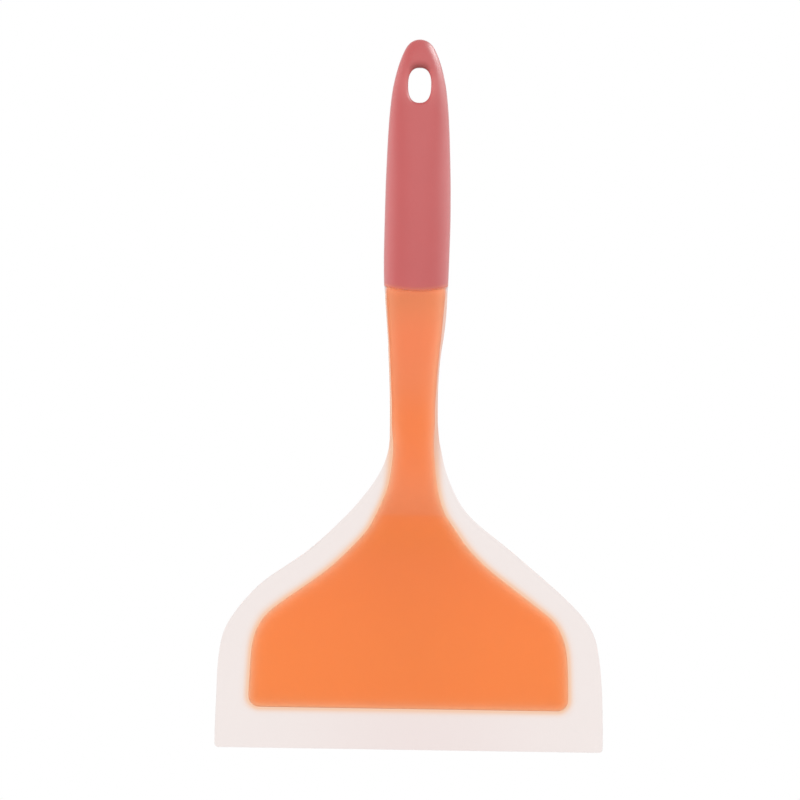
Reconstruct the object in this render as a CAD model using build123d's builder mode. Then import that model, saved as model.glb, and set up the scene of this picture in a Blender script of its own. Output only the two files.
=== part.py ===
from build123d import *
import os
from math import atan2, ceil, cos, degrees, radians, sin, tan

# A wide kitchen turner in three pieces that are moulded over one another for good:
# a stiff nylon core, a soft clear blade skin around its lower half, and a soft grip
# around its upper half. It hangs by its hole, so +Z runs up the handle, the food side
# of the blade faces -Y, and the origin is the centre of the hanging hole.
# All lengths are in millimetres.

# Main sizes, as seen from the front
overall_length = 305.0
grip_length = 108.0
blade_height = 101.0
blade_width = 166.9
tip_above_hole = 20.0

# Grip
grip_width = 28.9
grip_thickness = 17.4

# Hanging hole, with the dished rim that softens its edges
hole_width = 10.3
hole_height = 15.4
rim_width = 2.0
rim_depth = 1.6

# Shank
shank_width = 21.0
shank_thickness = 10.4
skin_wall_side = 1.7
skin_wall_face = 1.2
lap_length = 4.0
lap_cover = 0.8

# Blade
shoulder_width = 160.6
shoulder_above_edge = 55.9
shoulder_radius = 30.0
neck_half_width = 17.9
neck_above_edge = 107.1
neck_radius = 75.0
web_half_width = 6.7
web_above_neck = 37.9
edge_corner_radius = 1.5
blade_thickness = 3.4
lip_thickness = 1.4
front_lip_taper = 15.0
side_lip_taper = 12.0

# Blade set back behind the handle
blade_tilt = 14.0
bend_radius = 60.0
bend_above_crease = 12.0
web_forward = 2.0

# How the handle's bar dies into the blade just below the crease
root_half_width = 12.6
root_rise_back = 1.6
root_dive = 0.15
root_tail = 14.0
root_tail_dive = 0.6

# Plate of the core inside the blade
plate_thickness = 2.0
lip_side = 14.5
lip_front = 18.4
plate_shoulder_inset = 11.8
plate_shoulder_drop = 3.4
plate_shoulder_radius = 34.0
plate_neck_inset = 1.9
plate_neck_drop = 14.1
plate_neck_radius = 66.0
plate_web_inset = 0.2
plate_web_drop = 30.0
plate_corner_radius = 5.0

# Tang of the core inside the grip, ending below the hanging hole, with the keying
# windows that the grip fills when it is moulded
tang_width = 17.6
tang_thickness = 8.6
tang_end_thickness = 5.0
tang_end_radius = 7.0
tang_below_hole = 14.0
window_diameter = 7.0
window_pitch = 26.0
window_below_hole = 30.0
window_count = 2

# Distance between the drawn sections of the handle, and one overrun for every cut
section_pitch = 6.0
overrun = 4.0

# Grip sections from the tip, 0, to the seam, 1: share of the half width and of the
# half thickness, and how round the sides are
grip_section_shares = (
    (0.0000, 0.130, 0.120, 0.80),
    (0.0080, 0.255, 0.235, 0.80),
    (0.0220, 0.388, 0.350, 0.80),
    (0.0420, 0.488, 0.435, 0.80),
    (0.0740, 0.600, 0.510, 0.79),
    (0.1110, 0.686, 0.560, 0.78),
    (0.1852, 0.805, 0.625, 0.74),
    (0.2963, 0.910, 0.730, 0.70),
    (0.4630, 0.974, 0.880, 0.68),
    (0.7222, 1.000, 1.000, 0.68),
    (1.0000, 0.962, 0.955, 0.70),
)
# How many of those sections shape the tip's dome and are drawn as they stand
tip_section_count = 5
# Shank sections from the seam, 0, to the crease, 1, in the same way
shank_section_shares = (
    (0.177, 1.205, 1.400, 0.72),
    (0.333, 1.070, 1.190, 0.74),
    (0.521, 1.000, 1.000, 0.76),
    (0.698, 1.000, 0.910, 0.80),
)
root_tail_share = 0.95
root_roundness_share = 0.90
hole_round_share = 0.86
rim_curve_shares = ((0.0, 0.0), (0.30, 0.70), (1.0, 1.0))

edge_level = tip_above_hole - overall_length
seam_level = tip_above_hole - grip_length
crease_level = edge_level + blade_height
shank_length = seam_level - crease_level
bend_level = crease_level + bend_above_crease
tilt = radians(blade_tilt)
bend_end_y = bend_radius * (1 - cos(tilt)) - web_forward
bend_end_level = bend_level - bend_radius * sin(tilt)
blade_run = (bend_end_level - edge_level) / cos(tilt)


def crowned_oval(half_width, half_depth, round_share, centre=(0, 0)):
    """Face of an oval with two tight side arcs and two wide crown arcs that run
    into them without a corner."""
    side_radius = half_depth * round_share
    reach = half_width - side_radius
    crown_radius = (reach**2 + half_depth**2 - side_radius**2) / (2 * (half_depth - side_radius))
    lean = degrees(atan2(crown_radius - half_depth, reach))
    x, y = centre
    with BuildSketch() as oval:
        with BuildLine():
            CenterArc((x + reach, y), side_radius, -lean, 2 * lean)
            CenterArc((x, y + half_depth - crown_radius), crown_radius, lean, 180 - 2 * lean)
            CenterArc((x - reach, y), side_radius, 180 - lean, 2 * lean)
            CenterArc((x, y - half_depth + crown_radius), crown_radius, 180 + lean, 180 - 2 * lean)
        make_face()
    return oval.sketch


def blade_point(run, rise):
    """Point of the side view on the straight part of the blade: run is measured down
    the blade from the end of the bend, rise towards the food side."""
    y = bend_end_y + run * sin(tilt) - rise * cos(tilt)
    z = bend_end_level - run * cos(tilt) - rise * sin(tilt)
    return (y, z)


def sheet_y(level, rise):
    """Depth of a face of the blade sheet at a level, rise being measured from the
    middle of the sheet towards the food side."""
    if level >= bend_level:
        return -web_forward - rise
    if level >= bend_end_level:
        outer = bend_radius + rise
        return bend_radius - web_forward - (outer**2 - (bend_level - level) ** 2) ** 0.5
    return bend_end_y + (bend_end_level - level) * tan(tilt) - rise / cos(tilt)


def sheet_profile(thickness, edge_thickness, taper_run, top_level):
    """Side view of a bent sheet whose food side tapers to a thin front edge. Its back
    stays one flat face from the bend to the edge."""
    half = thickness / 2
    bottom_run = blade_run + overrun
    bottom_rise = half - (thickness - edge_thickness) * (taper_run + overrun) / taper_run
    bend_centre = (bend_radius - web_forward, bend_level)
    with BuildSketch() as profile:
        with BuildLine():
            CenterArc(bend_centre, bend_radius + half, 180, blade_tilt)
            CenterArc(bend_centre, bend_radius - half, 180, blade_tilt)
            Polyline(
                blade_point(0, half),
                blade_point(blade_run - taper_run, half),
                blade_point(bottom_run, bottom_rise),
                blade_point(bottom_run, -half),
                blade_point(0, -half),
            )
            Polyline(
                (-web_forward - half, bend_level),
                (-web_forward - half, top_level),
                (-web_forward + half, top_level),
                (-web_forward + half, bend_level),
            )
        make_face()
    return profile.sketch


def mirrored_outline(right_side, radii):
    """Face of an outline given by its right-hand points from the top down, mirrored
    about the handle's middle, with the fillet radius at each point."""
    left_side = [(-x, z) for x, z in reversed(right_side)]
    with BuildSketch() as outline:
        with BuildLine():
            Polyline(*right_side, *left_side, close=True)
        make_face()
        for (x, z), radius in zip(right_side, radii):
            for corner in ((x, z), (-x, z)):
                if radius > 0:
                    fillet(outline.vertices().sort_by_distance(corner)[0], radius)
    return outline.sketch


def smooth_row(rows, level):
    """Values at a level on smooth curves through the rows, which run downwards and
    start with their own level."""
    last = len(rows) - 1
    above = max(i for i in range(last) if rows[i][0] >= level)
    span = rows[above + 1][0] - rows[above][0]
    t = (level - rows[above][0]) / span
    values = []
    for column in range(1, len(rows[0])):
        slopes = []
        for i in (above, above + 1):
            before, after = max(i - 1, 0), min(i + 1, last)
            rise = rows[after][column] - rows[before][column]
            slopes.append(rise / (rows[after][0] - rows[before][0]))
        start, end = rows[above][column], rows[above + 1][column]
        values.append(
            (2 * t**3 - 3 * t**2 + 1) * start
            + (t**3 - 2 * t**2 + t) * span * slopes[0]
            + (3 * t**2 - 2 * t**3) * end
            + (t**3 - t**2) * span * slopes[1]
        )
    return (level, *values)


def drawn_sections(rows, first):
    """The rows up to number first as they stand, then sections at an even pitch on
    smooth curves down to the last row."""
    top, bottom = rows[first][0], rows[-1][0]
    count = ceil((top - bottom) / section_pitch)
    levels = [top + (bottom - top) * i / count for i in range(1, count)]
    return [*rows[: first + 1], *(smooth_row(rows, level) for level in levels), rows[-1]]


def grip_rows():
    """Sections of the grip from its tip to the seam, each as level, half width,
    depth of the front and of the back, and roundness."""
    return [
        (
            tip_above_hole - place * grip_length,
            grip_width / 2 * width,
            -grip_thickness / 2 * depth,
            grip_thickness / 2 * depth,
            roundness,
        )
        for place, width, depth, roundness in grip_section_shares
    ]


def shank_rows(side_inset, face_inset, sheet_thickness):
    """Sections of the bar from the seam to the crease, as grip_rows gives them. At
    the crease its front meets the front of the blade sheet."""
    rows = []
    _, seam_width, _, seam_depth, seam_roundness = grip_rows()[-1]
    rows.append(
        (
            seam_level,
            seam_width - side_inset,
            face_inset - seam_depth,
            seam_depth - face_inset,
            seam_roundness,
        )
    )
    for place, width, depth, roundness in shank_section_shares:
        half_width = shank_width / 2 * width - side_inset
        half_depth = shank_thickness / 2 * depth - face_inset
        level = seam_level - place * shank_length
        rows.append((level, half_width, -half_depth, half_depth, roundness))
    rows.append(
        (
            crease_level,
            root_half_width - side_inset,
            sheet_y(crease_level, sheet_thickness / 2) + root_dive,
            sheet_y(crease_level, -sheet_thickness / 2) + root_rise_back,
            root_roundness_share,
        )
    )
    return rows


def tail_row(side_inset, sheet_thickness):
    """Last section of the bar, sunk in the blade sheet below the crease."""
    level = crease_level - root_tail
    return (
        level,
        root_half_width * root_tail_share - side_inset,
        sheet_y(level, sheet_thickness / 2) + root_tail_dive,
        sheet_y(level, -sheet_thickness / 2) - root_tail_dive,
        root_roundness_share,
    )


def draw_section(level, half_width, front, back, roundness):
    """Crowned section of the handle on its own level."""
    with BuildSketch(Plane.XY.offset(level)) as section:
        add(crowned_oval(half_width, (back - front) / 2, roundness, (0, (front + back) / 2)))
    return section.sketch


# Outline points of the blade and of the plate inside it, right-hand side, from the top
neck_level = edge_level + neck_above_edge
shoulder_level = edge_level + shoulder_above_edge
web_level = neck_level + web_above_neck
blade_outline = (
    (web_half_width, web_level),
    (neck_half_width, neck_level),
    (shoulder_width / 2, shoulder_level),
    (blade_width / 2, edge_level),
)
blade_outline_radii = (0, neck_radius, shoulder_radius, edge_corner_radius)
plate_outline = (
    (web_half_width - plate_web_inset, web_level - plate_web_drop),
    (neck_half_width - plate_neck_inset, neck_level - plate_neck_drop),
    (shoulder_width / 2 - plate_shoulder_inset, shoulder_level - plate_shoulder_drop),
    (blade_width / 2 - lip_side, edge_level + lip_front),
)
plate_outline_radii = (0, plate_neck_radius, plate_shoulder_radius, plate_corner_radius)
sheet_top_level = web_level + overrun

# Outer form of the blade: a bent sheet cut to its outline and to its side view
with BuildPart() as outer_form:
    with BuildSketch(Plane.XZ):
        add(mirrored_outline(blade_outline, blade_outline_radii))
    extrude(amount=overall_length, both=True)
    with BuildSketch(Plane.YZ):
        add(sheet_profile(blade_thickness, lip_thickness, front_lip_taper, sheet_top_level))
    extrude(amount=blade_width, both=True, mode=Mode.INTERSECT)
    # Side lips thin out towards the food side, along the flare of the side edges
    flare = (blade_width - shoulder_width) / 2 / (shoulder_above_edge / cos(tilt))
    lip_plane = Plane(
        origin=(0, *blade_point(blade_run + overrun, 0)),
        x_dir=(1, 0, 0),
        z_dir=(0, -sin(tilt), cos(tilt)),
    )
    lip_drop = blade_thickness - lip_thickness
    lip_outer = blade_width / 2 + overrun
    lip_outer_rise = blade_thickness / 2 - lip_drop * (side_lip_taper + overrun) / side_lip_taper
    for side in (-1, 1):
        with BuildSketch(lip_plane):
            with BuildLine():
                Polyline(
                    (side * (blade_width / 2 - side_lip_taper), -blade_thickness / 2),
                    (side * lip_outer, -lip_outer_rise),
                    (side * lip_outer, -blade_thickness),
                    (side * (blade_width / 2 - side_lip_taper), -blade_thickness),
                    close=True,
                )
            make_face()
        extrude(
            amount=blade_run + overrun,
            dir=(-side * flare, -sin(tilt), cos(tilt)),
            mode=Mode.SUBTRACT,
        )

# Outer form of the handle: one bar from the tip down into the blade
outer_rows = [
    *drawn_sections(grip_rows(), tip_section_count - 1),
    *drawn_sections(shank_rows(0, 0, blade_thickness), 0)[1:],
    tail_row(0, blade_thickness),
]
with BuildPart() as outer_bar:
    loft([draw_section(*row) for row in outer_rows], ruled=True)

# Core: shank bar with a straight step under the lap, plate, and tang
lap_level = seam_level - lap_length
core_rows = shank_rows(skin_wall_side, skin_wall_face, plate_thickness)
core_rows[0] = smooth_row(core_rows, lap_level)
core_rows = [
    (seam_level + lap_length, *core_rows[0][1:]),
    *drawn_sections(core_rows, 0),
    tail_row(skin_wall_side, plate_thickness),
]
with BuildPart() as shank_bar:
    loft([draw_section(*row) for row in core_rows], ruled=True)

with BuildPart() as plate:
    with BuildSketch(Plane.XZ):
        add(mirrored_outline(plate_outline, plate_outline_radii))
    extrude(amount=overall_length, both=True)
    with BuildSketch(Plane.YZ):
        add(sheet_profile(plate_thickness, plate_thickness, front_lip_taper, sheet_top_level))
    extrude(amount=blade_width, both=True, mode=Mode.INTERSECT)

with BuildPart() as tang:
    with BuildSketch(Plane.XZ):
        with Locations((0, -tang_below_hole)):
            RectangleRounded(
                tang_width,
                grip_length,
                tang_end_radius,
                align=(Align.CENTER, Align.MAX),
            )
        with Locations((0, lap_level)):
            Rectangle(tang_width, grip_length, align=(Align.CENTER, Align.MAX), mode=Mode.SUBTRACT)
        for count in range(window_count):
            with Locations((0, -window_below_hole - count * window_pitch)):
                Circle(window_diameter / 2, mode=Mode.SUBTRACT)
    extrude(amount=grip_thickness, both=True)
    with BuildSketch(Plane.YZ):
        Polygon(
            (-tang_thickness / 2, lap_level),
            (tang_thickness / 2, lap_level),
            (tang_end_thickness / 2, -tang_below_hole),
            (-tang_end_thickness / 2, -tang_below_hole),
            align=None,
        )
    extrude(amount=tang_width, both=True, mode=Mode.INTERSECT)

with BuildPart() as nylon_core:
    add(shank_bar.part)
    add(plate.part)
    add(tang.part)

# Lap at the seam: the grip's end runs on thinly under the collar of the blade skin
_, seam_half_width, _, seam_half_depth, seam_roundness = grip_rows()[-1]
with BuildPart() as lap:
    with BuildSketch(Plane.XY.offset(lap_level)):
        add(crowned_oval(seam_half_width - lap_cover, seam_half_depth - lap_cover, seam_roundness))
    extrude(amount=lap_length)

# Blade skin: everything outside the core below the seam, one soft clear moulding
with BuildPart() as silicone_blade:
    add(outer_bar.part)
    split(bisect_by=Plane.XY.offset(seam_level), keep=Keep.BOTTOM)
    add(outer_form.part)
    add(lap.part, mode=Mode.SUBTRACT)
    add(nylon_core.part, mode=Mode.SUBTRACT)

# Dish around the hanging hole, one on each face, square to the face where it lies
hole_top_depth = smooth_row(grip_rows(), hole_height / 2)[3]
hole_bottom_depth = smooth_row(grip_rows(), -hole_height / 2)[3]
face_slope = (hole_bottom_depth - hole_top_depth) / hole_height
face_depth = (hole_bottom_depth + hole_top_depth) / 2
with BuildPart() as hole_cutter:
    with BuildSketch(Plane.XZ):
        add(crowned_oval(hole_height / 2, hole_width / 2, hole_round_share), rotation=90)
    extrude(amount=grip_thickness, both=True)
    for face_side in (-1, 1):
        dish_sections = []
        for outward, upward in (*rim_curve_shares, (1 + overrun / rim_width, 1 + overrun / rim_depth)):
            face_plane = Plane(
                origin=(0, face_side * (face_depth - rim_depth * (1 - upward)), 0),
                x_dir=(1, 0, 0),
                z_dir=(0, face_side, face_slope),
            )
            growth = rim_width * outward
            with BuildSketch(face_plane) as dish:
                add(
                    crowned_oval(hole_height / 2 + growth, hole_width / 2 + growth, hole_round_share),
                    rotation=90,
                )
            dish_sections.append(dish.sketch)
        loft(dish_sections, ruled=True)

# Soft grip: everything outside the core above the seam, with the dished hanging hole
with BuildPart() as silicone_grip:
    add(outer_bar.part)
    split(bisect_by=Plane.XY.offset(seam_level), keep=Keep.TOP)
    add(hole_cutter.part, mode=Mode.SUBTRACT)
    add(lap.part)
    add(nylon_core.part, mode=Mode.SUBTRACT)

os.makedirs("parts", exist_ok=True)
nylon_core.part.label = "nylon_core"
export_step(nylon_core.part, "parts/nylon_core.step")
silicone_blade.part.label = "silicone_blade"
export_step(silicone_blade.part, "parts/silicone_blade.step")
silicone_grip.part.label = "silicone_grip"
export_step(silicone_grip.part, "parts/silicone_grip.step")
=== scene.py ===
from math import atan2, copysign, cos, exp, hypot, pi, radians, sin, sqrt, tan

import bmesh
import bpy
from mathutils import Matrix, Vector


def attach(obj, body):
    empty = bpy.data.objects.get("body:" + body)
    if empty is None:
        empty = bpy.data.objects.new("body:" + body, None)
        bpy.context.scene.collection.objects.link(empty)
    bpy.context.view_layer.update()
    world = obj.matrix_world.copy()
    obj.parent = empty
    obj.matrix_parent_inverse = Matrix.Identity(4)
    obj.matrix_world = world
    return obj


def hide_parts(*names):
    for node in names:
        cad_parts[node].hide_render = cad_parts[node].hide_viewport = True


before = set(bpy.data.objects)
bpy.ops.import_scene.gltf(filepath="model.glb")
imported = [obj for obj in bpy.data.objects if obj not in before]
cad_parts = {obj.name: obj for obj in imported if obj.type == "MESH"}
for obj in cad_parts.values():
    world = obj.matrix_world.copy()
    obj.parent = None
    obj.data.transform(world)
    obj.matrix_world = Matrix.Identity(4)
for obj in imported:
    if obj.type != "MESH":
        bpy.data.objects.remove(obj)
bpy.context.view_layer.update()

# Grip: soft dusky pink silicone, moulded round the upper end of the core in one shot.
# It is an oval bar that swells towards the hand's heel, thins to a rounded tip, and is
# pierced by an oval hanging hole with a dished rim. Lengths here are in millimetres.
TIP, SEAM = 19.45, -88.0

# Millimetres below the tip, half width and half thickness of the grip
GRIP_FORM = (
    (0.0, 0.0, 0.0), (0.8, 3.18, 2.05), (2.47, 5.15, 3.1), (5.03, 6.66, 3.9),
    (8.9, 8.28, 4.55), (14.0, 9.84, 5.0), (20.0, 11.17, 5.4), (23.5, 11.7, 5.71),
    (27.5, 12.16, 6.01), (32.0, 12.56, 6.32), (40.0, 13.06, 6.88), (50.0, 13.46, 7.6),
    (63.0, 13.86, 8.2), (78.0, 14.03, 8.6), (92.0, 13.97, 8.56), (100.0, 13.84, 8.46),
    (107.45, 13.66, 8.28),
)


def through(table, place, column=1):
    """Value at a place on a smooth curve through a table whose rows start with rising
    places."""
    last = len(table) - 1
    i = 0
    while i < last - 1 and table[i + 1][0] <= place:
        i += 1
    span = table[i + 1][0] - table[i][0]
    t = min(max((place - table[i][0]) / span, 0.0), 1.0)
    slopes = []
    for k in (i, i + 1):
        a, b = max(k - 1, 0), min(k + 1, last)
        slopes.append((table[b][column] - table[a][column]) / (table[b][0] - table[a][0]))
    start, end = table[i][column], table[i + 1][column]
    return (
        (2 * t**3 - 3 * t**2 + 1) * start + (t**3 - 2 * t**2 + t) * span * slopes[0]
        + (3 * t**2 - 2 * t**3) * end + (t**3 - t**2) * span * slopes[1]
    )


def smoothstep(start, end, value):
    """0 before the start, 1 past the end, and a smooth rise between. The end may be the
    lower of the two, for a change that runs down the tool."""
    t = min(max((value - start) / (end - start), 0.0), 1.0)
    return t * t * (3 - 2 * t)


def mixed(start, end, share):
    """Colour at a share of the way between two colours."""
    return [a + (b - a) * share for a, b in zip(start, end)]


# Level and shift to the right of the soft silicone, from the blade up to the tip
SOFT_LEAN = (
    (-262.0, 0.0), (-246.0, -0.4), (-230.0, -0.65), (-222.0, -1.15), (-214.0, -1.75),
    (-208.0, -1.2), (-200.0, -0.3), (-194.0, -0.75), (-186.0, -1.6), (-179.0, -1.4),
    (-171.0, -0.4), (-165.0, 0.22), (-158.0, 0.65), (-152.0, 0.47), (-145.0, 0.1),
    (-138.0, -0.03), (-130.0, -0.14), (-122.0, -0.14), (-115.0, -0.03), (-109.0, 0.27),
    (-100.0, 0.4), (-93.0, 0.27), (-88.0, 0.15), (-76.0, 0.12), (-56.0, 0.34),
    (-6.0, 0.29), (10.0, 0.33), (20.0, 0.25),
)


def soft_lean(z):
    """The soft skin and grip lie a little to one side and then the other of the tool's
    straight middle line."""
    return through(SOFT_LEAN, z) if z > SOFT_LEAN[0][0] else 0.0


ROOTED_GRIP_FORM = [(sqrt(below), width, depth) for below, width, depth in GRIP_FORM]


def grip_size(below_tip):
    """Half width and half thickness of the grip. The table is read along the square
    root of the distance, so that the tip closes in a round dome."""
    place = sqrt(max(below_tip, 0.0))
    return through(ROOTED_GRIP_FORM, place, 1), through(ROOTED_GRIP_FORM, place, 2)


HANDLE_POWER, HOLE_FLATNESS = 2.3, 0.5
# Millimetres below the tip over which the faces flatten, and over which they round again
FLATTENS, ROUNDS_AGAIN = (0.5, 8.0), (24.0, 60.0)


def grip_power(below_tip):
    """Roundness of the grip's section: 2 is an ellipse, more has flatter faces, as it
    has round the hole."""
    flat = smoothstep(*FLATTENS, below_tip) * (1 - smoothstep(*ROUNDS_AGAIN, below_tip))
    return HANDLE_POWER + HOLE_FLATNESS * flat


SEAM_RISE, SEAM_REACH = 1.9, 8.0
COLLAR_WIDTH, COLLAR_DEPTH = 13.9, 8.0


def seam_warp(x, z):
    """The seam between grip and blade skin dips in the middle and rises at the sides.
    The warp fades out above and below it."""
    rise = SEAM_RISE * min((x / COLLAR_WIDTH) ** 2, 1.0)
    return rise * exp(-(((z - SEAM) / SEAM_REACH) ** 2))


def moulded_piece(name, vertices, faces, node):
    """Closed smooth mesh piece that stands for a CAD node. Vertices are in millimetres."""
    mesh = bpy.data.meshes.new(name)
    mesh.from_pydata([(x / 1000, y / 1000, z / 1000) for x, y, z in vertices], [], faces)
    work = bmesh.new()
    work.from_mesh(mesh)
    bmesh.ops.recalc_face_normals(work, faces=work.faces)
    work.to_mesh(mesh)
    work.free()
    mesh.polygons.foreach_set("use_smooth", [True] * len(mesh.polygons))
    piece = bpy.data.objects.new(name, mesh)
    bpy.context.collection.objects.link(piece)
    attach(piece, "root")
    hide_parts(node)
    return piece


# The grip's skin is a net of rows down from the tip and columns round it. The net has a
# patch left out on the front and on the back, which the hole's rings fill
GRIP_COLUMNS = 120
PATCH_COLUMNS = 18
PATCH_START, PATCH_END, PATCH_ROWS = 6.8, 32.0, 20
GRIP_END, LOWER_ROWS = 107.25, 52
dome_rows = [u * u for u in (0.14, 0.3, 0.48, 0.68, 0.9, 1.15, 1.4, 1.65, 1.9, 2.15, 2.4)]
patch_step = PATCH_END - PATCH_START
patch_rows = [PATCH_START + patch_step * i / PATCH_ROWS for i in range(PATCH_ROWS + 1)]
lower_step = GRIP_END - PATCH_END
lower_rows = [PATCH_END + lower_step * i / LOWER_ROWS for i in range(1, LOWER_ROWS + 1)]
rows = dome_rows + patch_rows + lower_rows
patch_top = len(dome_rows)
patch_bottom = patch_top + PATCH_ROWS
grip_vertices = [(0.0, 0.0, TIP)]
grip_faces = []
grip_index = {}


def section_point(turn, width, depth, power):
    """Point of a section at a turn round the grip."""
    x, y = abs(cos(turn)) ** (2 / power), abs(sin(turn)) ** (2 / power)
    return copysign(width * x, cos(turn)) if x > 1e-6 else 0.0, copysign(depth * y, sin(turn))


def column_turn(column):
    """Turn of a column round the grip. Column 0 is the middle of the front."""
    return 2 * pi * column / GRIP_COLUMNS - pi / 2


def in_patch(column):
    """Whether a column runs strictly inside the front or the back patch of the hole."""
    from_front = min(column % GRIP_COLUMNS, -column % GRIP_COLUMNS)
    return from_front < PATCH_COLUMNS or GRIP_COLUMNS // 2 - from_front < PATCH_COLUMNS


# The mould's parting line stands up a hair on both sides, from a little below the tip
PARTING_LINE, PARTING_STARTS = 0.07, 3.0
SIDE_COLUMNS = (GRIP_COLUMNS // 4, 3 * GRIP_COLUMNS // 4)

for r, below in enumerate(rows):
    width, depth = grip_size(below)
    for c in range(GRIP_COLUMNS):
        if patch_top < r < patch_bottom and in_patch(c):
            continue
        proud = PARTING_LINE if c in SIDE_COLUMNS and below > PARTING_STARTS else 0.0
        x, y = section_point(column_turn(c), width + proud, depth, grip_power(below))
        z = TIP - below
        grip_index[r, c] = len(grip_vertices)
        grip_vertices.append((x, y, z + seam_warp(x, z)))

for c in range(GRIP_COLUMNS):
    after = (c + 1) % GRIP_COLUMNS
    grip_faces.append((0, grip_index[0, c], grip_index[0, after]))
    for r in range(len(rows) - 1):
        corners = ((r, c), (r, after), (r + 1, after), (r + 1, c))
        inside = patch_top <= r < patch_bottom and (in_patch(c) or in_patch(after))
        if not inside:
            grip_faces.append([grip_index[corner] for corner in corners])

# The hole's patch: rings that run from the patch's border to the rim, round over the
# dished rim and go through to the back, where the same rings are mirrored
perimeter = [(patch_top, c) for c in range(-PATCH_COLUMNS, PATCH_COLUMNS + 1)]
perimeter += [(r, PATCH_COLUMNS) for r in range(patch_top + 1, patch_bottom)]
perimeter += [(patch_bottom, c) for c in range(PATCH_COLUMNS, -PATCH_COLUMNS - 1, -1)]
perimeter += [(r, -PATCH_COLUMNS) for r in range(patch_bottom - 1, patch_top, -1)]

# The hole reaches further down than up. Its rim is wider and deeper at the top
HOLE_HALF_WIDTH, HOLE_UP, HOLE_DOWN, HOLE_POWER = 4.92, 7.26, 7.68, 2.5
RIM_WIDTH, RIM_TOP_WIDTH = 1.5, 2.2
RIM_DROP, RIM_TOP_DROP = 1.4, 0.9


def oval_point(angle, growth):
    """Point of the hanging hole's oval, grown outwards by some millimetres."""
    across = HOLE_HALF_WIDTH + growth
    along = (HOLE_UP if angle > 0 else HOLE_DOWN) + growth
    reach = (
        abs(cos(angle) / across) ** HOLE_POWER + abs(sin(angle) / along) ** HOLE_POWER
    ) ** (-1 / HOLE_POWER)
    return reach * cos(angle), reach * sin(angle)


def grip_front(x, z):
    """Depth of the grip's front at a place well inside its outline."""
    width, depth = grip_size(TIP - z)
    power = grip_power(TIP - z)
    return -depth * max(1 - (abs(x) / width) ** power, 0.0) ** (1 / power)


front_rings = [[grip_index[r, c % GRIP_COLUMNS] for r, c in perimeter]]
back_rings = [[grip_index[r, (GRIP_COLUMNS // 2 - c) % GRIP_COLUMNS] for r, c in perimeter]]
starts = [grip_vertices[i] for i in front_rings[0]]
angles = [atan2(z, x) for x, y, z in starts]
steps = [("land", share) for share in (0.2, 0.4, 0.58, 0.74, 0.88, 1.0)]
steps += [("rim", radians(turn)) for turn in (9, 18, 28, 38, 49, 60, 70, 80, 90)]
for kind, amount in steps:
    front_ring, back_ring = [], []
    for (x0, _, z0), angle in zip(starts, angles):
        at_top = max(sin(angle), 0.0) ** 4
        rim = RIM_WIDTH + RIM_TOP_WIDTH * at_top
        if kind == "land":
            x1, z1 = oval_point(angle, rim)
            x, z, drop = x0 + (x1 - x0) * amount, z0 + (z1 - z0) * amount, 0.0
        else:
            x, z = oval_point(angle, rim * (1 - sin(amount)))
            drop = (RIM_DROP + RIM_TOP_DROP * at_top) * (1 - cos(amount))
        y = grip_front(x, z) + drop
        front_ring.append(len(grip_vertices))
        grip_vertices.append((x, y, z))
        back_ring.append(len(grip_vertices))
        grip_vertices.append((x, -y, z))
    front_rings.append(front_ring)
    back_rings.append(back_ring)
wall = [grip_vertices[i] for i in front_rings[-1]]
middle_rings = []
for share in (0.5, 0.0, -0.5):
    middle_rings.append([len(grip_vertices) + i for i in range(len(wall))])
    grip_vertices += [(x, y * share, z) for x, y, z in wall]
rings = front_rings + middle_rings + back_rings[::-1]
for ring, following in zip(rings, rings[1:]):
    for i in range(len(ring)):
        k = (i + 1) % len(ring)
        grip_faces.append((ring[i], ring[k], following[k], following[i]))

# The lower end closes round the top of the skin's collar, which starts just inside it.
# Each ring is an inset from the grip's side and a level
END_RINGS = ((0.02, -87.92), (0.09, -87.97), (0.5, -88.0), (2.0, -88.0), (4.0, -88.0))
width, depth = grip_size(TIP - SEAM)
previous = [grip_index[len(rows) - 1, c] for c in range(GRIP_COLUMNS)]
side_faces = len(grip_faces)
for inset, z in END_RINGS:
    ring = []
    for c in range(GRIP_COLUMNS):
        x, y = section_point(column_turn(c), width - inset, depth - inset, grip_power(TIP - SEAM))
        ring.append(len(grip_vertices))
        grip_vertices.append((x, y, z + seam_warp(x, z)))
    for c in range(GRIP_COLUMNS):
        after = (c + 1) % GRIP_COLUMNS
        grip_faces.append((previous[c], previous[after], ring[after], ring[c]))
    previous = ring
grip_faces.append(previous)
grip_vertices = [(x + soft_lean(z), y, z) for x, y, z in grip_vertices]
grip = moulded_piece("grip_silicone", grip_vertices, grip_faces, "silicone_grip")
for face in grip.data.polygons[side_faces:]:
    face.use_smooth = False

DUSKY_PINK = (0.555, 0.093, 0.093)
PAINTED_LIGHT_PINK = (0.63, 0.145, 0.142)
PAINTED_DISH_SHADE = (0.29, 0.050, 0.045)
SEAM_RED = (0.66, 0.150, 0.080)
DISH_REACH, PAINTED_LIGHT_REACH = 2.0, 3.2
DISH_ENDS, DISH_SIDES = 14.0, (0.76, 1.0)
SEAM_REDDENS = (-86.0, -88.0)


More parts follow.
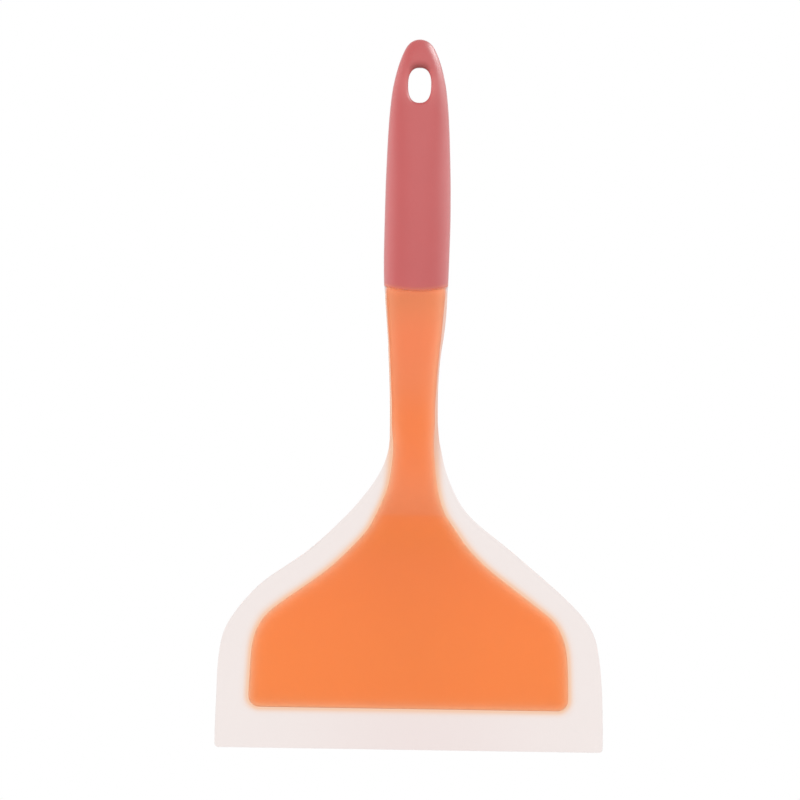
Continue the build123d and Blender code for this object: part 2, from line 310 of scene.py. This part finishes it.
def grip_colour(x, z):
    """Painted light beside the hole, painted shade in the dish above it, warmer at the seam."""
    x -= soft_lean(z)
    angle = atan2(z, x)
    rim_x, rim_z = oval_point(angle, 0.0)
    outside = max(hypot(x, z) - hypot(rim_x, rim_z), 0.0)
    # Painted light beside the hole, where the sides of the rim turn outwards and catch light
    beside = exp(-((outside / PAINTED_LIGHT_REACH) ** 2)) * cos(angle) ** 2
    colour = mixed(DUSKY_PINK, PAINTED_LIGHT_PINK, beside)
    # Painted shade in the dish above the hole, whose upper wall faces down, away from the light
    if z < DISH_ENDS:
        shade = exp(-((outside / DISH_REACH) ** 2)) * smoothstep(*DISH_SIDES, sin(angle))
        colour = mixed(colour, PAINTED_DISH_SHADE, shade)
    return mixed(colour, SEAM_RED, smoothstep(*SEAM_REDDENS, z - seam_warp(x, z)))


def paint_points(piece, name, colours):
    """Keeps a colour at each point of a piece, which its material reads by name."""
    tone = piece.data.attributes.new(name, "FLOAT_COLOR", "POINT")
    for point, colour in zip(tone.data, colours):
        point.color = (*colour, 1.0)


paint_points(grip, "grip_tone", [grip_colour(x, z) for x, y, z in grip_vertices])


def plastic_finish(name, settings):
    """Material whose shader has the given settings, and that shader."""
    material = bpy.data.materials.new(name)
    material.use_nodes = True
    shader = material.node_tree.nodes["Principled BSDF"]
    for socket, amount in settings.items():
        shader.inputs[socket].default_value = amount
    return material, shader


def painted_tone(material, name):
    """Colour output that reads a piece's painted points."""
    painted = material.node_tree.nodes.new("ShaderNodeAttribute")
    painted.attribute_name = name
    return painted.outputs["Color"]


def surface_noise(material, scale):
    """Noise that stays with the piece. A higher scale is finer."""
    nodes, links = material.node_tree.nodes, material.node_tree.links
    place = nodes.new("ShaderNodeTexCoord")
    noise = nodes.new("ShaderNodeTexNoise")
    noise.inputs["Scale"].default_value = scale
    links.new(place.outputs["Object"], noise.inputs["Vector"])
    return noise


GRAIN_HEIGHT = 0.0001


def mould_grain(material, shader, scale, strength):
    """Fine bumps that the surface keeps from its mould."""
    nodes, links = material.node_tree.nodes, material.node_tree.links
    grain = surface_noise(material, scale)
    bump = nodes.new("ShaderNodeBump")
    bump.inputs["Strength"].default_value = strength
    bump.inputs["Distance"].default_value = GRAIN_HEIGHT
    links.new(grain.outputs["Fac"], bump.inputs["Height"])
    links.new(bump.outputs["Normal"], shader.inputs["Normal"])


pink, shader = plastic_finish("pink_silicone_satin", {
    "Roughness": 0.52,
    "IOR": 1.43,
    "Subsurface Weight": 0.12,
    "Subsurface Radius": (0.004, 0.0018, 0.0016),
    "Subsurface Scale": 1.0,
    "Specular IOR Level": 0.3,
    "Coat Weight": 0.8,
    "Coat Roughness": 0.38,
    "Sheen Weight": 0.1,
    "Sheen Roughness": 0.4,
})
# Faint clouds, where the silicone's pigment is a little denser
clouds = surface_noise(pink, scale=55.0)
clouds.inputs["Detail"].default_value = 3.0
cloudy = pink.node_tree.nodes.new("ShaderNodeMix")
cloudy.data_type = "RGBA"
cloudy.blend_type = "MULTIPLY"
cloudy.inputs["B"].default_value = (0.93, 0.93, 0.92, 1)
links = pink.node_tree.links
links.new(painted_tone(pink, "grip_tone"), cloudy.inputs["A"])
links.new(clouds.outputs["Fac"], cloudy.inputs["Factor"])
links.new(cloudy.outputs["Result"], shader.inputs["Base Color"])
mould_grain(pink, shader, scale=1900.0, strength=0.08)
grip.data.materials.append(pink)

# Blade skin: soft milky clear silicone, one moulding that wraps the core's shank and
# plate and runs past the plate as the thin flexible lip. Its back is one flat sheet
# set back behind the handle, and its food side thins out towards the rim.
EDGE = -285.0
LIP_THICKNESS, NECK_EXTRA, BLADE_THICKNESS = 1.4, 1.2, 3.4

# Level, half width, front depth and back depth of the handle's bar below the seam,
# from the bottom up
SHANK_FORM = (
    (-200.0, 11.9, -1.9, 4.2), (-192.0, 12.3, 0.6, 3.3), (-184.0, 12.55, 2.3, 2.7),
    (-177.0, 12.1, 3.2, 3.35), (-170.0, 11.35, 3.9, 3.95), (-155.0, 10.4, 4.72, 4.72),
    (-138.0, 10.25, 5.2, 5.2), (-128.0, 10.45, 5.68, 5.68), (-119.0, 10.95, 6.22, 6.22),
    (-112.0, 11.55, 6.7, 6.7), (-105.0, 12.27, 7.2, 7.2), (-95.0, 13.12, 7.85, 7.85),
    (-88.0, 13.53, 8.28, 8.28),
)
SHANK_BOTTOM = SHANK_FORM[0][0]

# Level and half width of the sheet's outline, and of the plate of the core inside it
SHEET_OUTLINE = (
    (-283.5, 83.3), (-279.0, 83.3), (-265.0, 82.9), (-250.0, 82.1), (-241.0, 80.9),
    (-236.0, 79.7), (-231.0, 77.4), (-226.0, 73.9), (-221.0, 69.5), (-215.0, 63.4),
    (-210.0, 57.3), (-205.0, 50.6), (-200.0, 44.2), (-190.0, 32.3), (-183.0, 25.1),
    (-176.0, 19.8), (-169.0, 15.7), (-162.0, 12.75), (-153.0, 10.65), (-146.0, 9.9),
)
PLATE_OUTLINE = (
    (-262.0, 68.7), (-250.0, 68.2), (-241.0, 67.4), (-234.0, 65.3), (-228.0, 61.4),
    (-221.0, 52.9), (-214.0, 43.3), (-207.0, 34.2), (-200.0, 26.8), (-193.0, 20.8),
    (-186.0, 16.1), (-180.0, 13.2), (-173.0, 10.9), (-166.0, 9.2),
)
SHEET_TOP, PLATE_TOP = SHEET_OUTLINE[-1][0], PLATE_OUTLINE[-1][0]
SHEET_CORNER = 1.6
PLATE_BOTTOM, PLATE_CORNER = -267.4, 5.0

# The sheet bends back below the neck by an arc, and runs on straight and tilted
TILT = radians(14.0)
BEND_TOP, BEND_BOTTOM = -172.0, -186.515
BEND_RADIUS, BEND_BOTTOM_DEPTH = 60.0, -0.218
NECK_FORWARD, NECK_COMES_FORWARD = 2.0, (-146.0, -168.0)


def sheet_middle(z):
    """Depth of the middle of the bent sheet. It lies in front of the bar's middle where
    the neck springs from the bar."""
    if z > BEND_TOP:
        return -NECK_FORWARD * smoothstep(*NECK_COMES_FORWARD, z)
    if z > BEND_BOTTOM:
        return BEND_RADIUS - NECK_FORWARD - sqrt(BEND_RADIUS**2 - (z - BEND_TOP) ** 2)
    return BEND_BOTTOM_DEPTH + (BEND_BOTTOM - z) * tan(TILT)


def sheet_lean(z):
    """Share of a thickness square to the sheet that a level cuts: less where it tilts."""
    return cos(TILT) if z < BEND_BOTTOM else 1.0


def soft_max(a, b, k):
    """Larger of two lengths, with a rounded change over within k."""
    h = max(k - abs(a - b), 0.0) / k
    return max(a, b) + h * h * k / 4


def bar_faces(x, z, side_inset, face_inset):
    """Depths of the front and the back of the handle's bar, one depth twice beside it."""
    width = through(SHANK_FORM, z, 1) - side_inset
    front = through(SHANK_FORM, z, 2) - face_inset
    back = through(SHANK_FORM, z, 3) - face_inset
    middle, half = (back - front) / 2, (front + back) / 2
    reach = half * max(1 - (abs(x) / width) ** HANDLE_POWER, 0.0) ** (1 / HANDLE_POWER)
    return middle - reach, middle + reach


# A slope is read at least this far below the last row of an outline
SLOPE_MARGIN = 4.0


def slope(table, z):
    """Cosine of the outline's lean at a level."""
    lean = through(table, z + 0.5) - through(table, z - 0.5)
    return 1 / sqrt(1 + lean * lean)


def outline_at(z, table, bottom, corner):
    """Half width of a sheet's outline, with its lower corner rounded."""
    half = through(table, z)
    near = z - bottom
    if near < corner:
        half -= corner - sqrt(max(corner**2 - (corner - max(near, 0.0)) ** 2, 0.0))
    return half


# Millimetres within which the outline of a bar runs over into that of its sheet
NECK_ROUND = 0.8


def skin_half(z):
    """Half width of the skin: the bar's, or the sheet's where that is wider."""
    bar = through(SHANK_FORM, z, 1) if z > SHANK_BOTTOM else 0.0
    sheet = outline_at(z, SHEET_OUTLINE, EDGE, SHEET_CORNER) if z < SHEET_TOP else 0.0
    return soft_max(bar, sheet, NECK_ROUND)


# Level and thickness of the skin at the sides of the handle's bar
SIDE_WALL = (
    (-200.0, 1.35), (-172.0, 1.35), (-164.0, 1.5), (-156.0, 1.8), (-151.0, 1.6),
    (-146.0, 1.25), (-138.0, 1.25), (-130.0, 1.0), (-118.0, 1.0), (-110.0, 1.15),
    (-100.0, 1.3), (-92.0, 1.35), (-84.0, 1.3),
)


def core_half(z):
    """Half width of the core inside the skin: its bar's, or its plate's."""
    bar = through(SHANK_FORM, z, 1) - through(SIDE_WALL, z) if z > SHANK_BOTTOM else 0.0
    plate = outline_at(z, PLATE_OUTLINE, PLATE_BOTTOM, PLATE_CORNER) if z < PLATE_TOP else 0.0
    return soft_max(bar, plate, NECK_ROUND)


# Level and shift to the right of the core
CORE_LEAN = (
    (-262.0, -0.4), (-246.0, -0.4), (-236.0, -0.62), (-229.0, -0.85), (-222.0, -1.25),
    (-213.0, -0.85), (-203.0, -0.88), (-197.5, -0.75), (-191.0, -0.18), (-187.5, -0.3),
    (-184.0, -0.62), (-178.0, -0.4), (-171.0, 0.05), (-164.0, 0.18), (-156.0, 0.2),
    (-148.0, -0.05), (-138.0, -0.14), (-120.0, -0.12), (-108.0, 0.05), (-88.0, 0.1),
)


def core_lean(z):
    """The core is held by the soft skin, and leans about as that does."""
    return through(CORE_LEAN, z)


def beyond_core(x, z):
    """Distance outside the edge of the core as seen square on, negative inside it."""
    above_corner = PLATE_BOTTOM + PLATE_CORNER + 1
    aside = abs(x - core_lean(z)) - core_half(max(z, above_corner))
    on_plate = max(min(z, PLATE_TOP), PLATE_OUTLINE[0][0])
    aside = aside * slope(PLATE_OUTLINE, on_plate) + PLATE_CORNER
    below = (PLATE_BOTTOM - z) / cos(TILT) + PLATE_CORNER
    return hypot(max(aside, 0.0), max(below, 0.0)) + min(max(aside, below), 0.0) - PLATE_CORNER


# Levels over which the sheet grows out of the bar, its rim thickens towards the neck,
# and its fillet with the bar's front widens. It thins over some distance from the rim
SHEET_GROWS, RIM_THICKENS, FILLET_WIDENS = (-138.0, -156.0), (-225.0, -195.0), (-172.0, -150.0)
THINS_OUT = (-3.0, 14.0)
FRONT_FILLET, FRONT_FILLET_EXTRA, BACK_FILLET = 0.5, 1.1, 1.4


def skin_faces(x, z):
    """Depths of the skin's front and back."""
    lean = sheet_lean(z)
    front = back = None
    half = skin_half(z)
    if z < SHEET_GROWS[0] and abs(x) < half:
        from_side = (half - abs(x)) * slope(SHEET_OUTLINE, min(z, SHEET_TOP - SLOPE_MARGIN))
        to_rim = min(from_side, (z - EDGE) / cos(TILT))
        grown = smoothstep(*SHEET_GROWS, z)
        rim = (LIP_THICKNESS + NECK_EXTRA * smoothstep(*RIM_THICKENS, z)) * grown
        lip = rim / 2 * sqrt(max(1 - (1 - min(to_rim / (rim / 2), 1.0)) ** 2, 0.0))
        deeper = max(BLADE_THICKNESS * grown - rim, 0.0)
        thicker = deeper * (smoothstep(*THINS_OUT, to_rim) - smoothstep(*THINS_OUT, 0.0))
        centre = sheet_middle(z) + (BLADE_THICKNESS / 2 - rim / 2) * grown / lean
        front = centre - (lip + thicker) / lean
        back = centre + lip / lean
    if z < SHANK_BOTTOM:
        if front is not None:
            return front, back
        rim_middle = sheet_middle(z) + (BLADE_THICKNESS - LIP_THICKNESS) / 2 / lean
        return rim_middle, rim_middle
    bar_front, bar_back = bar_faces(x, z, 0.0, 0.0)
    if front is None:
        return bar_front, bar_back
    front_fillet = FRONT_FILLET + FRONT_FILLET_EXTRA * smoothstep(*FILLET_WIDENS, z)
    return -soft_max(-front, -bar_front, front_fillet), soft_max(back, bar_back, BACK_FILLET)


def sheet_shell(levels, half_columns, faces_at, warp, lean):
    """Vertices and faces of a closed shell with a front and a back that share their rim
    at both sides and at the bottom. half_columns gives the rising distances of the
    columns from the middle, warp a rise at a place and lean a shift to the right."""
    vertices, faces, fronts, backs = [], [], [], []
    for number, z in enumerate(levels):
        half, aside = half_columns(z), lean(z)
        xs = [-x for x in half[:0:-1]] + half
        front_row, back_row = [], []
        for i, x in enumerate(xs):
            front, back = faces_at(x, z)
            level = z + warp(x, z)
            if i in (0, len(xs) - 1) or number == len(levels) - 1:
                front_row.append(len(vertices))
                back_row.append(len(vertices))
                vertices.append((x + aside, (front + back) / 2, level))
            else:
                front_row.append(len(vertices))
                vertices.append((x + aside, front, level))
                back_row.append(len(vertices))
                vertices.append((x + aside, back, level))
        fronts.append(front_row)
        backs.append(back_row)
    strips = list(zip(fronts, fronts[1:])) + list(zip(backs, backs[1:]))
    strips.append((fronts[0], backs[0]))
    for upper, lower in strips:
        for i in range(len(upper) - 1):
            corners = [upper[i], upper[i + 1], lower[i + 1], lower[i]]
            faces.append(list(dict.fromkeys(corners)))
    return vertices, faces


# Distances from the rim, on a lip of the last one's width, and shares of the plate's
# half width at which the columns of the skin bunch up
LIP_COLUMNS = (0.0, 0.05, 0.15, 0.35, 0.7, 1.2, 2.2, 4.2, 7.0, 9.6, 11.4, 12.6, 13.4, 14.0, 14.5)
PLATE_EDGE_COLUMNS = (0.046, 0.029, 0.016, 0.007)
PLATE_COLUMNS = 26


def skin_columns(z):
    """Columns of the skin from the middle to the rim. They bunch up at the rim and
    along the edge of the plate inside."""
    rim, plate = skin_half(z), core_half(max(z, PLATE_BOTTOM))
    inner = [plate * i / PLATE_COLUMNS for i in range(PLATE_COLUMNS - 1)]
    inner += [plate * (1 - share) for share in PLATE_EDGE_COLUMNS]
    lip = [rim - (rim - plate) * offset / LIP_COLUMNS[-1] for offset in reversed(LIP_COLUMNS)]
    return inner + lip


# Levels of the skin's collar, and how far each is drawn in under the grip
COLLAR_INSETS = {-87.5: 0.5, -87.9: 0.08, -88.05: 0.01}


def collared_columns(z):
    """Columns of the skin, drawn in at the collar."""
    share = 1 - COLLAR_INSETS.get(z, 0.0) / COLLAR_WIDTH
    return [x * share for x in skin_columns(z)]


def collared_faces(x, z):
    """Depths of the skin's front and back, drawn in at the collar."""
    share = 1 - COLLAR_INSETS.get(z, 0.0) / COLLAR_DEPTH
    front, back = skin_faces(x, z)
    return front * share, back * share


def stretch(levels, low, high, pitch):
    """Adds even levels down to low, at about a pitch."""
    count = max(round((high - low) / pitch), 1)
    return levels + [high + (low - high) * i / count for i in range(1, count + 1)]


# Levels of the skin's rows, which bunch up where its outline or its depth turns quickly
levels = [*COLLAR_INSETS, -88.25, -88.6]
levels = stretch(levels, -140.0, -88.6, 1.9)
levels = stretch(levels, -178.0, -140.0, 1.3)
levels = stretch(levels, -192.0, -178.0, 0.9)
levels = stretch(levels, -246.0, -192.0, 1.5)
levels = stretch(levels, -261.0, -246.0, 2.0)
levels += [-263.2, -264.6, -265.7, -266.6, -267.3, -267.9, -268.6, -269.5, -270.4, -271.5]
levels = stretch(levels, -280.5, -271.5, 1.8)
levels += [-282.2, -283.4, -284.1, -284.55, -284.8, -284.93, EDGE]
skin_vertices, skin_sides = sheet_shell(
    levels, collared_columns, collared_faces, seam_warp, soft_lean
)
skin = moulded_piece(
    "blade_silicone", skin_vertices, skin_sides, "silicone_blade"
)

MILK = (0.893, 0.816, 0.793)
DEEPER_MILK = (0.875, 0.773, 0.753)
# The glows are painted light: the core's orange, scattered through the milky silicone beside the
# core's edge
LEFT_SHANK_GLOW = (0.92, 0.53, 0.34)
RIGHT_SHANK_GLOW = (0.81, 0.48, 0.36)
BLADE_GLOW = (0.93, 0.57, 0.37)
CLEAR_OVER_CORE = (1.0, 0.96, 0.93)
COOLER_AT_SEAM = (0.85, 0.85, 0.95)
SHANK_GLOW_REACH, BLADE_GLOW_REACH = 3.0, 1.75
BLADE_STARTS, CLEARS = (-148.0, -178.0), (-0.4, 0.7)
DEEPENS, DEEPER_MIDDLE, DEEPER_REACH = (-262.0, -272.0), 5.0, 45.0
COOLS, COOLNESS = (-91.5, -88.2), 0.6


def skin_colour(x, z):
    """Milky on the free lip, with an orange glow next to the core's edge, nearly clear
    over the core, and a little cooler at the seam."""
    beyond = beyond_core(x, z)
    low_middle = exp(-(((x - DEEPER_MIDDLE) / DEEPER_REACH) ** 2)) * smoothstep(*DEEPENS, z)
    milk = mixed(MILK, DEEPER_MILK, low_middle)
    on_blade = smoothstep(*BLADE_STARTS, z)
    glow = mixed(RIGHT_SHANK_GLOW if x > 0 else LEFT_SHANK_GLOW, BLADE_GLOW, on_blade)
    reach = SHANK_GLOW_REACH + (BLADE_GLOW_REACH - SHANK_GLOW_REACH) * on_blade
    colour = mixed(milk, glow, exp(-((max(beyond, 0.0) / reach) ** 2)))
    colour = mixed(colour, CLEAR_OVER_CORE, smoothstep(*CLEARS, -beyond))
    at_seam = COOLNESS * smoothstep(*COOLS, z - seam_warp(x, z))
    return mixed(colour, COOLER_AT_SEAM, at_seam)


paint_points(skin, "skin_tone", [skin_colour(x, z) for x, y, z in skin_vertices])
clear, shader = plastic_finish("clear_silicone_milky", {
    "Roughness": 0.36,
    "IOR": 1.1,
    "Transmission Weight": 0.98,
})
clear.node_tree.links.new(painted_tone(clear, "skin_tone"), shader.inputs["Base Color"])
mould_grain(clear, shader, scale=1500.0, strength=0.15)
skin.data.materials.append(clear)

# Core: stiff orange nylon, one moulding that shows through the skin. Its bar fills the
# shank, bends back at the crease and spreads into the flat plate of the blade.
FACE_WALL = 1.2
PLATE_EDGE_HALF, PLATE_BEVEL = 0.5, 5.0
PLATE_GROWS = (-156.0, -174.0)
CORE_FRONT_FILLET, CORE_BACK_FILLET = 0.4, 1.0


def core_faces(x, z):
    """Depths of the core's front and back."""
    lean = sheet_lean(z)
    front = back = None
    half = core_half(z)
    if z < PLATE_GROWS[0] and abs(x) < half:
        from_side = (half - abs(x)) * slope(PLATE_OUTLINE, min(z, PLATE_TOP - SLOPE_MARGIN))
        to_rim = min(from_side, (z - PLATE_BOTTOM) / cos(TILT))
        edge = PLATE_EDGE_HALF * smoothstep(*PLATE_GROWS, z)
        lip = edge * sqrt(max(1 - (1 - min(to_rim / PLATE_EDGE_HALF, 1.0)) ** 2, 0.0))
        thicker = edge * smoothstep(0.0, PLATE_BEVEL, to_rim)
        front = sheet_middle(z) - (lip + thicker) / lean
        back = sheet_middle(z) + (lip + thicker) / lean
    if z < SHANK_BOTTOM:
        return (front, back) if front is not None else (sheet_middle(z),) * 2
    bar_front, bar_back = bar_faces(x, z, through(SIDE_WALL, z), FACE_WALL)
    if front is None:
        return bar_front, bar_back
    return (
        -soft_max(-front, -bar_front, CORE_FRONT_FILLET),
        soft_max(back, bar_back, CORE_BACK_FILLET),
    )


CORE_COLUMNS = 24
CORE_EDGE_COLUMNS = (0.055, 0.036, 0.022, 0.012, 0.0055, 0.0018, 0.0)


def core_columns(z):
    """Columns of the core from the middle to its rim, where they bunch up."""
    half = core_half(z)
    inner = [half * i / CORE_COLUMNS for i in range(CORE_COLUMNS - 1)]
    return inner + [half * (1 - share) for share in CORE_EDGE_COLUMNS]


def no_warp(x, z):
    """The core's levels stay flat."""
    return 0.0


# The bar runs on a little way up inside the grip
CORE_TOP = -84.0
levels = stretch([CORE_TOP], -166.0, CORE_TOP, 2.0)
levels = stretch(levels, -192.0, -166.0, 1.0)
levels = stretch(levels, -246.0, -192.0, 1.5)
levels = stretch(levels, -261.0, -246.0, 2.0)
levels += [-263.2, -264.5, -265.5, -266.3, -266.7, -267.05, -267.25, -267.36, PLATE_BOTTOM]
core_vertices, core_sides = sheet_shell(levels, core_columns, core_faces, no_warp, core_lean)
core = moulded_piece("core_nylon", core_vertices, core_sides, "nylon_core")

# Level and colour of the core below and above the crease, from the bottom up. The colours
# are painted shading: darker just below the crease, where the plate tilts back, and
# lighter towards the plate's bottom. The bar is painted brighter in its last millimetres
# under the grip, against the shade that the grip casts there.
PLATE_SHADED_TONES = (
    (-262.0, 1.0, 0.258, 0.058), (-245.0, 0.985, 0.256, 0.057), (-222.0, 0.97, 0.245, 0.057),
    (-205.0, 0.94, 0.233, 0.057), (-192.0, 0.905, 0.224, 0.049), (-184.0, 0.885, 0.212, 0.051),
)
BAR_SHADED_TONES = (
    (-185.0, 0.835, 0.222, 0.076), (-176.0, 0.845, 0.230, 0.083), (-160.0, 0.88, 0.219, 0.066),
    (-144.0, 0.875, 0.212, 0.057), (-126.0, 0.845, 0.223, 0.082), (-108.0, 0.858, 0.221, 0.085),
    (-96.0, 0.80, 0.224, 0.088), (-91.0, 0.77, 0.222, 0.088), (-89.0, 0.88, 0.252, 0.100),
    (-88.0, 0.95, 0.275, 0.108),
)
CREASE = (-184.9, -183.4)
TONE_LIFT, DULLER, DULLER_REACH, DULLS = 1.02, 0.045, 28.0, (-185.0, -200.0)
PALE_ORANGE = (0.96, 0.64, 0.43)
UPPER_LEFT_ORANGE = (0.97, 0.62, 0.38)
UPPER_LEVEL = -145.0
PALENESS, LEFT_LESS, RIGHT_LESS, PALENESS_EASES = 0.72, 0.22, 0.06, (-152.0, -136.0)
PALE_REACH = 1.3


def core_colour(x, z):
    """Painted shading: it changes at the crease, where the plate tilts back, and is a little
    duller down the middle of the plate. Beside the core's own edge it is paler, painted
    light that the milky skin scatters over that edge."""
    plate_tone = [through(PLATE_SHADED_TONES, z, channel) for channel in (1, 2, 3)]
    bar_tone = [through(BAR_SHADED_TONES, z, channel) for channel in (1, 2, 3)]
    colour = mixed(plate_tone, bar_tone, smoothstep(*CREASE, z))
    duller = DULLER * exp(-((x / DULLER_REACH) ** 2)) * smoothstep(*DULLS, z)
    colour = [min(channel * (TONE_LIFT - duller), 1.0) for channel in colour]
    # Paler beside the edge: painted light, scattered by the milky skin over the core's rounded
    # rim
    inside = max(-beyond_core(x, z), 0.0)
    paleness = PALENESS - (LEFT_LESS if x < 0 else RIGHT_LESS) * smoothstep(*PALENESS_EASES, z)
    pale = UPPER_LEFT_ORANGE if x < 0 and z > UPPER_LEVEL else PALE_ORANGE
    return mixed(colour, pale, paleness * exp(-inside / PALE_REACH))


paint_points(core, "core_tone", [core_colour(x, z) for x, y, z in core_vertices])
orange, shader = plastic_finish("orange_nylon_satin", {"Roughness": 0.45, "IOR": 1.2})
orange.node_tree.links.new(painted_tone(orange, "core_tone"), shader.inputs["Base Color"])
mould_grain(orange, shader, scale=900.0, strength=0.15)
core.data.materials.append(orange)

# Floor: a plain pale disc of paper, 50 mm below the tool's lower edge. It isn't part of
# the tool, and it fades out before it ends. From here on lengths are in metres.
FLOOR_RADIUS, FLOOR_LEVEL = 0.42, -0.335
FADE_STARTS, FADE_ENDS = 0.12, 0.41
floor_mesh = bpy.data.meshes.new("floor")
work = bmesh.new()
bmesh.ops.create_circle(work, cap_ends=True, segments=96, radius=FLOOR_RADIUS)
work.to_mesh(floor_mesh)
work.free()
floor = bpy.data.objects.new("floor", floor_mesh)
floor.location = (0, 0, FLOOR_LEVEL)
bpy.context.collection.objects.link(floor)
paper, shader = plastic_finish("pale_floor", {
    "Base Color": (0.86, 0.86, 0.86, 1),
    "Roughness": 0.9,
})
nodes, links = paper.node_tree.nodes, paper.node_tree.links
place = nodes.new("ShaderNodeTexCoord")
far = nodes.new("ShaderNodeVectorMath")
far.operation = "LENGTH"
links.new(place.outputs["Object"], far.inputs[0])
fade = nodes.new("ShaderNodeMapRange")
fade.interpolation_type = "SMOOTHSTEP"
fade.inputs["From Min"].default_value = FADE_STARTS
fade.inputs["From Max"].default_value = FADE_ENDS
links.new(far.outputs["Value"], fade.inputs["Value"])
open_air = nodes.new("ShaderNodeBsdfTransparent")
blend = nodes.new("ShaderNodeMixShader")
links.new(fade.outputs["Result"], blend.inputs["Fac"])
links.new(shader.outputs["BSDF"], blend.inputs[1])
links.new(open_air.outputs["BSDF"], blend.inputs[2])
links.new(blend.outputs["Shader"], nodes["Material Output"].inputs["Surface"])
floor.data.materials.append(paper)

# Studio: even white surroundings with weak soft lights on the left, the right and in
# front. One high on the right and two beside the tool show only as gloss: they give
# the highlight on the tip and the sheen along the sides.
SEEN_STRENGTH, LIGHTING_STRENGTH = 1.0, 0.87
world = bpy.data.worlds.new("studio")
bpy.context.scene.world = world
world.use_nodes = True
nodes, links = world.node_tree.nodes, world.node_tree.links
surround = nodes["Background"]
surround.inputs["Color"].default_value = (1, 1, 1, 1)
rays = nodes.new("ShaderNodeLightPath")
seen = nodes.new("ShaderNodeMath")
seen.operation = "MAXIMUM"
links.new(rays.outputs["Is Camera Ray"], seen.inputs[0])
links.new(rays.outputs["Is Glossy Ray"], seen.inputs[1])
seen_through = nodes.new("ShaderNodeMath")
seen_through.operation = "MAXIMUM"
links.new(seen.outputs["Value"], seen_through.inputs[0])
links.new(rays.outputs["Is Transmission Ray"], seen_through.inputs[1])
level = nodes.new("ShaderNodeMapRange")
level.inputs["To Min"].default_value = LIGHTING_STRENGTH
level.inputs["To Max"].default_value = SEEN_STRENGTH
links.new(seen_through.outputs["Value"], level.inputs["Value"])
links.new(level.outputs["Result"], surround.inputs["Strength"])


def soft_light(name, place, target, width, height, power):
    """Rectangular area light that faces a target."""
    data = bpy.data.lights.new(name, "AREA")
    data.shape = "RECTANGLE"
    data.size, data.size_y = width, height
    data.energy = power
    lamp = bpy.data.objects.new(name, data)
    lamp.location = place
    lamp.rotation_euler = (Vector(target) - Vector(place)).to_track_quat("-Z", "Y").to_euler()
    bpy.context.collection.objects.link(lamp)
    return lamp


# Name, place, place that it faces, width, height and power of each light
SOFT_LIGHTS = (
    ("left_light", (-1.5, -0.5, 0.2), (0, 0, -0.13), 1.0, 1.0, 4.5),
    ("right_light", (1.5, -0.5, 0.3), (0, 0, -0.13), 1.0, 1.0, 2.5),
    ("front_light", (0.0, -2.6, 0.55), (0, 0, -0.15), 1.4, 1.4, 7.0),
)
GLOSS_LIGHTS = (
    ("tip_light", (1.12, -0.06, 0.8), (0, 0, 0.01), 1.7, 0.7, 41.0),
    ("left_sheen", (-1.4, 0.35, 0.0), (0, 0, -0.05), 1.1, 1.2, 5.0),
    ("right_sheen", (1.4, 0.35, -0.15), (0, 0, -0.05), 1.1, 1.2, 5.0),
)
COOL_WHITE = (0.75, 1.0, 1.0)
for settings in SOFT_LIGHTS:
    soft_light(*settings)
for settings in GLOSS_LIGHTS:
    lamp = soft_light(*settings)
    lamp.data.color = COOL_WHITE
    lamp.visible_diffuse = lamp.visible_transmission = False

# Camera: far off and level, it looks at the food side square on, with the slight roll
# of the photograph
CAMERA_PLACE = (-0.006, -8.0, -0.1349)
CAMERA_ANGLE, CAMERA_ROLL = radians(2.451), radians(-0.9)
camera_data = bpy.data.cameras.new("camera")
camera_data.angle = CAMERA_ANGLE
camera = bpy.data.objects.new("camera", camera_data)
camera.location = CAMERA_PLACE
camera.rotation_euler = (pi / 2, CAMERA_ROLL, 0)
bpy.context.collection.objects.link(camera)
bpy.context.scene.camera = camera
bpy.context.scene.view_settings.view_transform = "Standard"
